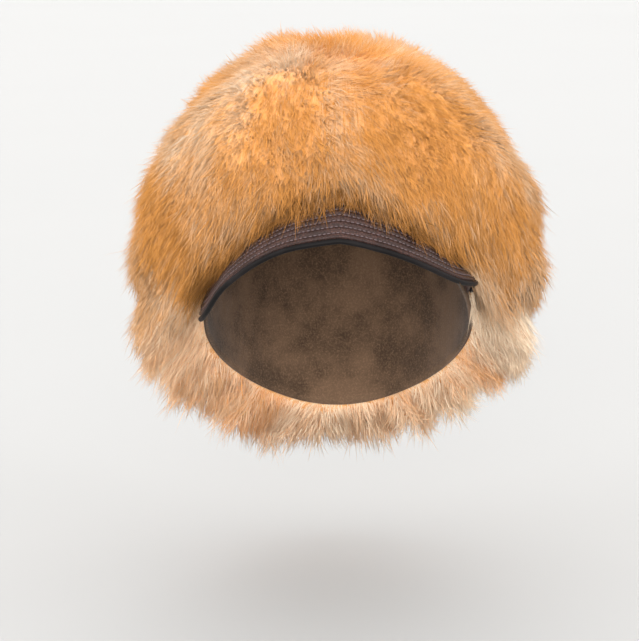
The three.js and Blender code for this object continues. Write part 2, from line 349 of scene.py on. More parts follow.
class PeakFrame:
    """The peak's own directions at one place along it."""

    nearby = 0.02  # how far to either side the edge's direction is taken from

    def __init__(self, t):
        self.root, outer = peak_edge(t)
        after, before = peak_edge(min(1, t + self.nearby))[1], peak_edge(max(0, t - self.nearby))[1]
        self.width = np.linalg.norm(outer - self.root)
        self.ahead = unit(outer - self.root)
        self.tangent = unit(after - before)
        self.upward = unit(np.cross(self.ahead, self.tangent))

    def point(self, reach, layer):
        share = min(1, max(0, reach / self.width))
        camber = PEAK_CAMBER * self.width * 4 * share * (1 - share)
        return self.root + self.ahead * reach + self.upward * (layer + camber)


class Finish:
    """A material whose nodes are added one at a time and joined to its shader."""

    def __init__(self, name, **constants):
        self.material = bpy.data.materials.new(name)
        self.material.use_nodes = True
        self.tree = self.material.node_tree
        self.shader = self.tree.nodes["Principled BSDF"]
        for socket, value in constants.items():
            self.shader.inputs[socket.replace("_", " ")].default_value = value

    def node(self, kind, inputs=None, **settings):
        made = self.tree.nodes.new("ShaderNode" + kind)
        for key, value in settings.items():
            setattr(made, key, value)
        for key, value in (inputs or {}).items():
            self.feed(made.inputs[key], value)
        return made

    def feed(self, socket, value):
        if isinstance(value, bpy.types.NodeSocket):
            self.tree.links.new(value, socket)
        else:
            socket.default_value = value

    def place(self, stretch=(1, 1, 1), source="Object"):
        """The piece's own coordinates, stretched."""
        coordinates = self.node("TexCoord").outputs[source]
        return self.node("Mapping", {"Vector": coordinates, "Scale": stretch}).outputs[0]

    def noise(self, place, scale, detail=3, roughness=0.5):
        inputs = {"Vector": place, "Scale": scale, "Detail": detail, "Roughness": roughness}
        return self.node("TexNoise", inputs).outputs["Fac"]

    def math(self, operation, *values):
        made = self.node("Math", operation=operation)
        for socket, value in zip(made.inputs, values):
            self.feed(socket, value)
        return made.outputs[0]

    def span(self, value, low, high, new_low=0.0, new_high=1.0, kind="SMOOTHSTEP"):
        inputs = {"Value": value, 1: low, 2: high, 3: new_low, 4: new_high}
        return self.node("MapRange", inputs, interpolation_type=kind).outputs[0]

    def mix(self, factor, a, b, kind="MIX"):
        inputs = {0: factor, 6: rgba(a), 7: rgba(b)}
        made = self.node("Mix", inputs, data_type="RGBA", blend_type=kind)
        return made.outputs[2]

    def bump(self, height, strength, distance, normal=None):
        inputs = {"Height": height, "Strength": strength, "Distance": distance}
        if normal is not None:
            inputs["Normal"] = normal
        return self.node("Bump", inputs).outputs[0]

    def coat_normal(self):
        """A strand's own normal, turned to that of the coat it stands in, as soft wool scatters light.

        The longer the kept normal is, the more it counts.
        """
        coat = self.node("Attribute", attribute_name="coat_normal").outputs["Vector"]
        turn = {"vector_type": "VECTOR", "convert_from": "OBJECT", "convert_to": "WORLD"}
        coat = self.node("VectorTransform", {0: coat}, **turn).outputs[0]
        weight = self.node("VectorMath", {0: coat}, operation="LENGTH").outputs["Value"]
        own = self.node("NewGeometry").outputs["Normal"]
        rest = self.math("SUBTRACT", 1.0, weight)
        own = self.node("VectorMath", {0: own, "Scale": rest}, operation="SCALE").outputs[0]
        mixed = self.node("VectorMath", {0: own, 1: coat}, operation="ADD").outputs[0]
        return self.node("VectorMath", {0: mixed}, operation="NORMALIZE").outputs[0]

    def finish(self, colour=None, roughness=None, normal=None):
        wanted = {"Base Color": colour, "Roughness": roughness, "Normal": normal}
        for socket, value in wanted.items():
            if value is not None:
                self.feed(self.shader.inputs[socket], value)
        return self.material


def rgba(colour):
    return colour if isinstance(colour, bpy.types.NodeSocket) else (*colour[:3], 1)


def tinted(colour, factor):
    return tuple(min(1, channel * factor) for channel in colour)


def new_piece(name, mesh, material, nodes):
    """An object for a finished mesh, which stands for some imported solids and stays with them."""
    piece = bpy.data.objects.new(name, mesh)
    bpy.context.scene.collection.objects.link(piece)
    mesh.materials.append(material)
    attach(piece, "root")
    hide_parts(*nodes)


def mesh_of(bm, name):
    mesh = bpy.data.meshes.new(name)
    bm.to_mesh(mesh)
    bm.free()
    mesh.polygons.foreach_set("use_smooth", [True] * len(mesh.polygons))
    return mesh


def spun_shell(layers, down_steps, turn_steps):
    """A closed shell spun round the crown: x and y hold the place on the hat, and z the layer."""
    bm = bmesh.new()
    shares = [i / down_steps for i in range(down_steps + 1)]
    inner = [(share, 0, layers[0]) for share in shares]
    outer = [(share, 0, layers[1]) for share in reversed(shares)]
    profile = [bm.verts.new(point) for point in inner + outer]
    edges = [bm.edges.new(pair) for pair in zip(profile, profile[1:])]
    bmesh.ops.spin(
        bm,
        geom=profile + edges,
        cent=(0, 0, 0),
        axis=(0, 0, 1),
        angle=2 * math.pi,
        steps=turn_steps,
        use_merge=True,
    )
    bmesh.ops.remove_doubles(bm, verts=bm.verts, dist=1e-6)
    return bm


def places_on_hat(bm):
    """What the vertices of a spun shell stand for: azimuth, share of the way down and layer."""
    x, y, layer = np.array([vertex.co for vertex in bm.verts]).T
    return np.arctan2(x, -y), np.hypot(x, y), layer


def wrap_on_hat(bm, wrap):
    """Moves every vertex of a spun shell to wrap(azimuth, share of the way down, layer)."""
    for vertex, point in zip(bm.verts, wrap(*places_on_hat(bm))):
        vertex.co = point
    bmesh.ops.recalc_face_normals(bm, faces=bm.faces)


def joined_copies(bm, matrices, name):
    """One mesh of many copies of a small closed shape."""
    bmesh.ops.triangulate(bm, faces=bm.faces)
    corners = np.array([vertex.co for vertex in bm.verts])
    faces = np.array([[vertex.index for vertex in face.verts] for face in bm.faces])
    bm.free()
    matrices = np.array(matrices)
    points = corners @ matrices[:, :3, :3].transpose(0, 2, 1) + matrices[:, None, :3, 3]
    offsets = np.arange(len(matrices))[:, None, None] * len(corners)
    return mesh_from(name, points.reshape(-1, 3), (faces + offsets).reshape(-1, 3))


def mesh_from(name, points, triangles):
    mesh = bpy.data.meshes.new(name)
    mesh.vertices.add(len(points))
    mesh.vertices.foreach_set("co", points.astype(np.float32).ravel())
    mesh.loops.add(triangles.size)
    mesh.loops.foreach_set("vertex_index", triangles.astype(np.int32).ravel())
    mesh.polygons.add(len(triangles))
    mesh.polygons.foreach_set("loop_start", np.arange(0, triangles.size, 3, dtype=np.int32))
    mesh.polygons.foreach_set("use_smooth", np.ones(len(triangles), bool))
    mesh.update(calc_edges=True)
    mesh.validate()
    return mesh


def framed(origin, x_axis, y_axis, z_axis, size):
    """A matrix that stands a unit shape at a place, along three directions."""
    matrix = np.eye(4)
    matrix[:3, 0] = np.asarray(x_axis) * size[0]
    matrix[:3, 1] = np.asarray(y_axis) * size[1]
    matrix[:3, 2] = np.asarray(z_axis) * size[2]
    matrix[:3, 3] = origin
    return matrix


class FurSettings(bpy.types.PropertyGroup):
    cream: FloatVectorProperty(
        name="Cream",
        description="Colour of the undyed wool, at the roots and where the dye took badly",
        default=(0.95, 0.76, 0.56),
        subtype="COLOR",
        min=0,
        max=1,
    )
    orange: FloatVectorProperty(
        name="Orange",
        description="Colour of the dyed tips",
        default=(0.86, 0.365, 0.088),
        subtype="COLOR",
        min=0,
        max=1,
    )
    tufts: IntProperty(
        name="Tufts", description="How many small tufts stand out of the undercoat", default=9600, min=100
    )
    strands: IntProperty(
        name="Strands", description="How many strands stand in each tuft", default=5, min=1
    )
    fuzz: IntProperty(
        name="Fuzz", description="How many short straight hairs stand in each tuft", default=7, min=0
    )
    strand_width: FloatProperty(
        name="Strand width",
        description="Width of a strand near its root",
        default=0.00048,
        subtype="DISTANCE",
        min=0.0001,
        max=0.01,
    )
    undercoat: FloatProperty(
        name="Undercoat",
        description="Thickness of the undercoat, as a share of the hair's length",
        default=0.70,
        subtype="FACTOR",
        min=0.1,
        max=0.9,
    )


class SkinSettings(bpy.types.PropertyGroup):
    suede: FloatVectorProperty(
        name="Suede",
        description="Colour of the skin's napped inner side",
        default=(0.095, 0.057, 0.034),
        subtype="COLOR",
        min=0,
        max=1,
    )
    thread: FloatVectorProperty(
        name="Seam thread",
        description="Colour of the thread between crown and flaps",
        default=(0.30, 0.21, 0.13),
        subtype="COLOR",
        min=0,
        max=1,
    )
    stitch_pitch: FloatProperty(
        name="Seam stitch pitch",
        description="Distance between two overcast stitches of the seam",
        default=0.0034,
        subtype="DISTANCE",
        min=0.001,
    )


class PeakSettings(bpy.types.PropertyGroup):
    leather: FloatVectorProperty(
        name="Peak leather",
        description="Colour of the peak's leather",
        default=(0.050, 0.022, 0.017),
        subtype="COLOR",
        min=0,
        max=1,
    )
    piping: FloatVectorProperty(
        name="Piping",
        description="Colour of the leather folded round the peak's edge",
        default=(0.006, 0.005, 0.005),
        subtype="COLOR",
        min=0,
        max=1,
    )
    thickness: FloatProperty(
        name="Peak thickness",
        description="Thickness of the peak",
        default=0.003,
        subtype="DISTANCE",
        min=0.001,
    )
    piping_radius: FloatProperty(
        name="Piping radius",
        description="Radius of the rolled edge",
        default=0.0015,
        subtype="DISTANCE",
        min=0.0005,
    )
    row_pitch: FloatProperty(
        name="Row pitch",
        description="Distance between two rows of stitches",
        default=0.0042,
        subtype="DISTANCE",
        min=0.001,
    )
    stitch_pitch: FloatProperty(
        name="Stitch pitch",
        description="Distance between two stitches of a row",
        default=0.0025,
        subtype="DISTANCE",
        min=0.001,
    )


class StageSettings(bpy.types.PropertyGroup):
    floor: FloatVectorProperty(
        name="Floor",
        description="Colour of the floor",
        default=(0.452, 0.448, 0.440),
        subtype="COLOR",
        min=0,
        max=1,
    )
    floor_height: FloatProperty(
        name="Floor height",
        description="Height of the floor, well under the hat, which is held up as it is worn",
        default=-0.290,
        subtype="DISTANCE",
    )
    camera_distance: FloatProperty(
        name="Camera distance",
        description="From the camera to the middle of the hat",
        default=1.6,
        subtype="DISTANCE",
        min=0.5,
    )
    camera_elevation: FloatProperty(
        name="Camera elevation",
        description="How far the camera looks down",
        default=math.radians(12),
        subtype="ANGLE",
    )


def suede_finish(settings):
    """Napped suede: brushed lighter and darker in patches, with a fine short nap."""
    made = Finish("suede", Roughness=0.95, Specular_IOR_Level=0.12, Sheen_Weight=0.12, Sheen_Roughness=0.5)
    place = made.place()
    colour = settings.suede
    brushed = made.noise(place, 34, detail=4, roughness=0.6)
    worn = made.mix(made.span(brushed, 0.36, 0.66), tinted(colour, 0.62), tinted(colour, 1.5))
    nap = made.noise(place, 900, roughness=0.7)
    flecked = made.mix(made.span(nap, 0.42, 0.72, 0, 0.5), worn, tinted(colour, 2.6))
    creases = made.noise(made.place((1, 1, 0.45)), 60, detail=5, roughness=0.62)
    normal = made.bump(creases, strength=0.35, distance=0.003)
    normal = made.bump(nap, strength=0.55, distance=0.0006, normal=normal)
    return made.finish(flecked, made.span(brushed, 0.3, 0.7, 0.86, 1.0), normal)


def thread_finish(name, colour, roughness):
    """Twisted thread, lighter and smoother where a ply lies on top, the lighter colour a painted highlight.
    """
    made = Finish(name, Specular_IOR_Level=0.5)
    twist = made.noise(made.place(), 1600, detail=2)
    # Painted highlight: lighter where the twist raises a ply
    colour = made.mix(twist, tinted(colour, 0.7), tinted(colour, 1.5))
    rough = made.span(twist, 0.3, 0.7, roughness, roughness + 0.2)
    return made.finish(colour, rough, made.bump(twist, strength=0.5, distance=0.0002))


def leather_finish(settings):
    """Grained glossy leather: mottled patches, painted shade between the grains, and fine pores."""
    made = Finish("peak_leather", Coat_Weight=0.1, Coat_Roughness=0.18, Specular_IOR_Level=0.22)
    place = made.place()
    colour = settings.leather
    mottle = made.noise(place, 85, detail=5, roughness=0.6)
    base = made.mix(made.span(mottle, 0.35, 0.68), tinted(colour, 0.62), tinted(colour, 1.55))
    cells = made.node("TexVoronoi", {"Vector": place, "Scale": 760.0}, feature="DISTANCE_TO_EDGE").outputs[0]
    grain = made.span(cells, 0.0, 0.22)
    # Painted shade: the colour is darker in the hollows between the grains
    pit_shaded_colour = made.mix(grain, tinted(colour, 0.35), base)
    normal = made.bump(made.noise(place, 2400, detail=2), strength=0.25, distance=0.0002)
    normal = made.bump(grain, strength=0.42, distance=0.00035, normal=normal)
    normal = made.bump(mottle, strength=0.3, distance=0.0012, normal=normal)
    return made.finish(pit_shaded_colour, made.span(mottle, 0.3, 0.7, 0.30, 0.52), normal)


def piping_finish(settings):
    """Smooth black leather, wrinkled where it is folded and rubbed lighter in places."""
    made = Finish("piping_leather", Specular_IOR_Level=0.1)
    place = made.place()
    wrinkle = made.noise(place, 420, detail=4, roughness=0.6)
    rubbed = made.noise(place, 55)
    colour = made.mix(made.span(rubbed, 0.4, 0.7), settings.piping, tinted(settings.piping, 2.4))
    normal = made.bump(wrinkle, strength=0.5, distance=0.0005)
    return made.finish(colour, made.span(rubbed, 0.3, 0.7, 0.45, 0.62), normal)


def fur_finish(settings):
    """Strands of wool: more dyed towards the tip, streaked along their fibres, each a little different."""
    made = Finish("dyed_fur", Roughness=0.75, Specular_IOR_Level=0.12)
    hair = made.node("Attribute", attribute_name="hair").outputs["Color"]
    share, dye, shade = made.node("SeparateColor", {0: hair}).outputs[:3]
    depth = made.math("MULTIPLY_ADD", share, 0.4, -0.2)
    dyed = made.span(made.math("ADD", dye, depth), 0.0, 1.0, kind="LINEAR")
    colour = made.mix(dyed, settings.cream, settings.orange)
    fibre = made.noise(made.place((900, 6, 1), "UV"), 1.0, roughness=0.6)
    # The shade darkens or lightens each strand: by chance, with painted light at the hem and painted shade
    # over the peak
    light = made.math("MULTIPLY_ADD", shade, 0.2, 0.84)
    light = made.math("MULTIPLY", light, made.span(fibre, 0.3, 0.7, 0.95, 1.04))
    grey = made.node("CombineColor", {0: light, 1: light, 2: light}).outputs[0]
    colour = made.mix(1.0, colour, grey, "MULTIPLY")
    normal = made.bump(fibre, strength=0.3, distance=0.0003, normal=made.coat_normal())
    return made.finish(colour, None, normal)


def undercoat_finish(settings):
    """The dense wool between the strands: streaks that run down the hair, and painted shade where they part.
    """
    made = Finish("undercoat", Roughness=0.85, Specular_IOR_Level=0.2)
    hair = made.node("Attribute", attribute_name="hair").outputs["Color"]
    dye = made.node("SeparateColor", {0: hair}).outputs[1]
    streaks = made.noise(made.place((260, 5, 1), "UV"), 1.0, detail=4, roughness=0.65)
    curls = made.noise(made.place(), 130, detail=4, roughness=0.6)
    wool = made.mix(made.span(dye, 0.1, 1.0, 0.0, 0.85), settings.cream, settings.orange)
    together = made.math("MULTIPLY", made.span(streaks, 0.3, 0.65), made.span(curls, 0.25, 0.6))
    # Painted shade: where the streaks and curls part, the wool is a darker orange
    colour = made.mix(together, tinted(settings.orange, 0.85), wool)
    normal = made.bump(curls, strength=0.4, distance=0.002)
    normal = made.bump(streaks, strength=0.5, distance=0.0015, normal=normal)
    return made.finish(colour, None, normal)


def floor_finish(settings):
    """Plain pale paper, a trace darker and lighter in wide patches."""
    made = Finish("floor", Roughness=0.7, Specular_IOR_Level=0.2)
    speckle = made.noise(made.place(), 3, detail=2)
    colour = made.mix(speckle, tinted(settings.floor, 0.985), tinted(settings.floor, 1.01))
    return made.finish(colour)


class HAT_OT_set_stage(bpy.types.Operator):
    """Puts up the pale floor, the soft studio light and the camera"""

    bl_idname = "hat.set_stage"
    bl_label = "Set the stage"
    floor_half_width = 20
    # Each light's name, the direction it comes from, its spread in degrees and its strength
    lights = (
        ("top_light", (0, -28, 62), 100, 0.9),
        ("front_light", (-4, -75, 10), 40, 2.5),
        ("left_light", (-61, -29, 8), 40, 1.4),
        ("right_light", (61, -29, 8), 40, 1.4),
        ("back_light", (0, 56, 20), 60, 1.3),
    )
    surrounding_light = 1.17
    aim = (-0.0107, 0, -0.1306)
    lens, sensor_width = 154.8, 36
    farthest_seen = 60

    def execute(self, context):
        settings = context.scene.hat_stage
        self.lay_floor(context, settings)
        for name, towards, spread, strength in self.lights:
            self.light(context, name, towards, spread, strength)
        world = bpy.data.worlds.new("studio")
        world.use_nodes = True
        world.node_tree.nodes["Background"].inputs[0].default_value = (1, 1, 1, 1)
        world.node_tree.nodes["Background"].inputs[1].default_value = self.surrounding_light
        context.scene.world = world
        context.scene.view_settings.view_transform = "Standard"
        self.camera(context, settings)
        return {"FINISHED"}

    def lay_floor(self, context, settings):
        bm = bmesh.new()
        bmesh.ops.create_grid(bm, x_segments=8, y_segments=8, size=self.floor_half_width)
        bmesh.ops.translate(bm, verts=bm.verts, vec=(0, 0, settings.floor_height))
        floor = bpy.data.objects.new("floor", mesh_of(bm, "floor"))
        floor.data.materials.append(floor_finish(settings))
        context.scene.collection.objects.link(floor)

    def light(self, context, name, towards, spread, strength):
        """A wide soft light that comes from far off, as from a large white panel."""
        lamp = bpy.data.lights.new(name, "SUN")
        lamp.angle = math.radians(spread)
        lamp.energy = strength
        made = bpy.data.objects.new(name, lamp)
        made.rotation_mode = "QUATERNION"
        made.rotation_quaternion = (-Vector(towards)).to_track_quat("-Z", "Y")
        context.scene.collection.objects.link(made)

    def camera(self, context, settings):
        """The camera, level across and looking down on the middle of the hat from the front."""
        tilt = settings.camera_elevation
        back = Vector((0, -math.cos(tilt), math.sin(tilt)))
        camera = bpy.data.objects.new("camera", bpy.data.cameras.new("camera"))
        camera.data.lens = self.lens
        camera.data.sensor_width = self.sensor_width
        camera.data.clip_end = self.farthest_seen
        camera.location = Vector(self.aim) + back * settings.camera_distance
        camera.rotation_mode = "QUATERNION"
        camera.rotation_quaternion = (-back).to_track_quat("-Z", "Y")
        context.scene.collection.objects.link(camera)
        context.scene.camera = camera


class HAT_OT_cut_skin(bpy.types.Operator):
    """Cuts the sheepskin's leather: the crown, and the flaps sewn on below it"""

    bl_idname = "hat.cut_skin"
    bl_label = "Cut the skin"
    down_steps, turn_steps = 40, 96
    seam_margin = 0.03  # from each end of the seam to its first stitch, in radians
    stitch_offset = -0.0002  # of a stitch's middle from the skin's inner face
    stitch_slant = 0.5
    stitch_size = (0.0005, 0.0005, 0.0026)
    thread_roughness = 0.6

    def execute(self, context):
        settings = context.scene.hat_skin
        suede = suede_finish(settings)
        for name, keep_above, seam in (("crown_skin", True, 0), ("flap_skin", False, SEAM_GAP)):
            bm = spun_shell((0, SKIN_THICKNESS), self.down_steps, self.turn_steps)
            wrap_on_hat(bm, lambda a, share, layer: skin_point(a, share * edge_along(a), layer))
            bmesh.ops.bisect_plane(
                bm,
                geom=bm.verts[:] + bm.edges[:] + bm.faces[:],
                plane_co=(0, 0, SEAM_LEVEL - seam),
                plane_no=(0, 0, 1),
                clear_inner=keep_above,
                clear_outer=not keep_above,
            )
            cut = [edge for edge in bm.edges if edge.is_boundary]
            filled = bmesh.ops.holes_fill(bm, edges=cut, sides=0)["faces"]
            bmesh.ops.triangulate(bm, faces=filled)
            bmesh.ops.recalc_face_normals(bm, faces=bm.faces)
            new_piece(name + "_suede", mesh_of(bm, name), suede, [name])
        self.sew_seam(settings)
        return {"FINISHED"}

    def sew_seam(self, settings):
        """Slanting overcast stitches along the seam, on the skin's inner side."""
        bm = bmesh.new()
        bmesh.ops.create_uvsphere(bm, u_segments=6, v_segments=5, radius=1)
        seam_share = (CROWN_DEPTH - BROW_EDGE) / (NAPE_EDGE - BROW_EDGE)
        first = math.acos(1 - 2 * seam_share ** (1 / ARCH_EXPONENT))
        radius = (INNER_WIDTH + INNER_LENGTH) / 4
        count = int((2 * math.pi - 2 * first) * radius / settings.stitch_pitch)
        ends = (first + self.seam_margin, 2 * math.pi - first - self.seam_margin)
        matrices = []
        for azimuth in np.linspace(*ends, count):
            centre = skin_point(azimuth, np.array(1.0), self.stitch_offset)
            inward = -skin_normal(azimuth, np.array(1.0))
            sideways = unit(np.cross((0, 0, 1), inward))
            along = unit(np.array((0, 0, 1)) + self.stitch_slant * sideways)
            across = np.cross(inward, along)
            matrices.append(framed(centre, across, inward, along, self.stitch_size))
        mesh = joined_copies(bm, matrices, "seam_stitches")
        thread = thread_finish("seam_thread", settings.thread, self.thread_roughness)
        new_piece("seam_stitches", mesh, thread, ["flap_skin"])


class HAT_OT_sew_peak(bpy.types.Operator):
    """Sews the peak: padded leather with rows of stitches, and a rolled black edge"""

    bl_idname = "hat.sew_peak"
    bl_label = "Sew the peak"
    turn_steps, reach_steps = 96, 84
    row_steps = 768  # along the peak, to find the stitches' places
    inner_stop = -0.001  # how far behind the opening's edge the leather starts
    first_row = 0.0062  # from the outer edge to the first row of stitches
    rows = 9
    row_margin = 0.004  # from a row to the peak's root, where the row ends
    groove_depth, groove_width = 0.0008, 0.0009
    underside_share = 0.6  # of the grooves' depth, on the underside
    stitch_size = (0.00045, 0.00040, 0.00098)
    stitch_height = 0.00034  # of a stitch's middle over the bottom of its groove
    thread, thread_roughness = (0.085, 0.055, 0.056), 0.2

    def execute(self, context):
        settings = context.scene.hat_peak
        self.frames = [PeakFrame(i / self.turn_steps) for i in range(self.turn_steps + 1)]
        self.make_leather(settings)
        self.make_stitches(settings)
        self.make_piping(settings)
        return {"FINISHED"}

    def groove(self, settings, from_edge):
        """How deep the stitches pull the leather down at a distance from the outer edge."""
        row = round((from_edge - self.first_row) / settings.row_pitch)
        if not 0 <= row < self.rows:
            return 0.0
        off = from_edge - self.first_row - row * settings.row_pitch
        return self.groove_depth * math.exp(-((off / self.groove_width) ** 2))

    def make_leather(self, settings):
        bm = bmesh.new()
        bmesh.ops.create_grid(bm, x_segments=self.turn_steps, y_segments=self.reach_steps, size=0.5)
        raised = bmesh.ops.extrude_face_region(bm, geom=bm.faces[:])["geom"]
        top = [item for item in raised if isinstance(item, bmesh.types.BMVert)]
        bmesh.ops.translate(bm, verts=top, vec=(0, 0, 1))
        stop = 2 * settings.piping_radius + SEAM_GAP
        for vertex in bm.verts:
            x, y, side = vertex.co
            place = self.frames[round((x + 0.5) * self.turn_steps)]
            reach = blend(self.inner_stop, place.width - stop, y + 0.5)
            sunk = self.groove(settings, place.width - reach)
            layer = settings.thickness * (side - 0.5)
            layer -= sunk if side > 0.5 else -sunk * self.underside_share
            vertex.co = place.point(reach, layer)
        bmesh.ops.recalc_face_normals(bm, faces=bm.faces)
        mesh = mesh_of(bm, "peak_leather")
        new_piece("peak_leather", mesh, leather_finish(settings), ["peak"])

    def make_stitches(self, settings):
        bm = bmesh.new()
        bmesh.ops.create_uvsphere(bm, u_segments=6, v_segments=5, radius=1)
        matrices = []
        for row in range(self.rows):
            from_edge = self.first_row + row * settings.row_pitch
            for place, tangent in self.row_places(from_edge, settings.stitch_pitch):
                height = settings.thickness / 2 - self.groove_depth + self.stitch_height
                centre = place.point(place.width - from_edge, height)
                across = np.cross(place.upward, tangent)
                matrices.append(framed(centre, across, place.upward, tangent, self.stitch_size))
        mesh = joined_copies(bm, matrices, "peak_stitches")
        thread = thread_finish("peak_thread", self.thread, self.thread_roughness)
        new_piece("peak_stitches", mesh, thread, ["peak"])

    def row_places(self, from_edge, pitch):
        """Places a stitch apart along a row, where the peak is wide enough to carry it."""
        since = pitch
        last = None
        for i in range(self.row_steps + 1):
            place = PeakFrame(i / self.row_steps)
            if place.width < from_edge + self.row_margin:
                last = None
                continue
            point = place.point(place.width - from_edge, 0)
            if last is not None:
                since += np.linalg.norm(point - last)
                if since >= pitch:
                    since -= pitch
                    yield place, unit(point - last)
            last = point

    def make_piping(self, settings):
        bm = bmesh.new()
        bmesh.ops.create_cone(
            bm, cap_ends=True, segments=16, radius1=1, radius2=1, depth=1, matrix=Matrix.Identity(4)
        )
        walls = [edge for edge in bm.edges if abs(edge.verts[0].co.z - edge.verts[1].co.z) > 0.5]
        bmesh.ops.subdivide_edges(bm, edges=walls, cuts=self.turn_steps - 1)
        radius = settings.piping_radius
        for vertex in bm.verts:
            x, y, z = vertex.co
            place = self.frames[round((z + 0.5) * self.turn_steps)]
            centre = place.point(place.width - radius, 0)
            across = np.cross(place.upward, place.tangent)
            vertex.co = centre + across * x * radius + place.upward * y * radius
        bmesh.ops.recalc_face_normals(bm, faces=bm.faces)
        mesh = mesh_of(bm, "peak_edge")
        new_piece("peak_edge", mesh, piping_finish(settings), ["peak_piping"])


class PeakCover:
    """How high the peak's upper side stands, so that no strand runs through it."""

    turn_steps, reach_steps = 60, 20
    overlap = -0.004  # how far behind the peak's root its cover starts
    low_x, high_x, low_y, high_y = -0.084, 0.084, -0.136, -0.030
    step = 0.001  # between two places where the height is measured
    above = 0.1  # a height that is over all of the peak
    nowhere = -1.0  # the height where there is no peak
    undercoat_gap, strand_gap = 0.0008, 0.0016
    deepest_root = 0.012

    def __init__(self, settings):
        bm = bmesh.new()
        bmesh.ops.create_grid(bm, x_segments=self.turn_steps, y_segments=self.reach_steps, size=0.5)
        frames = [PeakFrame(i / self.turn_steps) for i in range(self.turn_steps + 1)]
        for vertex in bm.verts:
            place = frames[round((vertex.co.x + 0.5) * self.turn_steps)]
            reach = blend(self.overlap, place.width, vertex.co.y + 0.5)
            vertex.co = place.point(reach, settings.thickness / 2)
        tree = BVHTree.FromBMesh(bm)
        bm.free()
        xs = np.arange(self.low_x, self.high_x, self.step)
        ys = np.arange(self.low_y, self.high_y, self.step)
        self.heights = np.full((len(xs), len(ys)), self.nowhere)
        for i, x in enumerate(xs):
            for j, y in enumerate(ys):
                found = tree.ray_cast(Vector((x, y, self.above)), Vector((0, 0, -1)))[0]
                if found is not None:
                    self.heights[i, j] = found.z

    def height(self, points):
        """The peak's height under some points, or far below where there is none."""
        i = np.round((points[..., 0] - self.low_x) / self.step).astype(int)
        j = np.round((points[..., 1] - self.low_y) / self.step).astype(int)
        inside = (i >= 0) & (i < self.heights.shape[0]) & (j >= 0) & (j < self.heights.shape[1])
        found = np.full(points.shape[:-1], self.nowhere)
        found[inside] = self.heights[i[inside], j[inside]]
        return found

    def buried(self, paths):
        """Whether a strand would start well under the peak's upper side."""
        return paths[:, 0, 2] < self.height(paths[:, 0]) - self.deepest_root

    def lifted(self, points, gap):
        """The points, raised where they would be in the peak or under it."""
        lifted = points.copy()
        lifted[..., 2] = np.maximum(points[..., 2], self.height(points) + gap)
        return lifted


class Swirl:
    """A smooth random field over the hat, as a sum of plane waves of some lengths and strengths."""

    waves_each = 7

    def __init__(self, rng, waves, channels):
        self.parts = []
        for wavelength, strength in waves:
            for _ in range(self.waves_each):
                pace = unit(rng.normal(0, 1, (channels, 3))) * 2 * math.pi / wavelength
                phase = rng.uniform(0, 2 * math.pi, channels)
                self.parts.append((pace, phase, strength / math.sqrt(self.waves_each / 2)))

    def at(self, points):
        return sum(strength * np.sin(points @ pace.T + phase) for pace, phase, strength in self.parts)


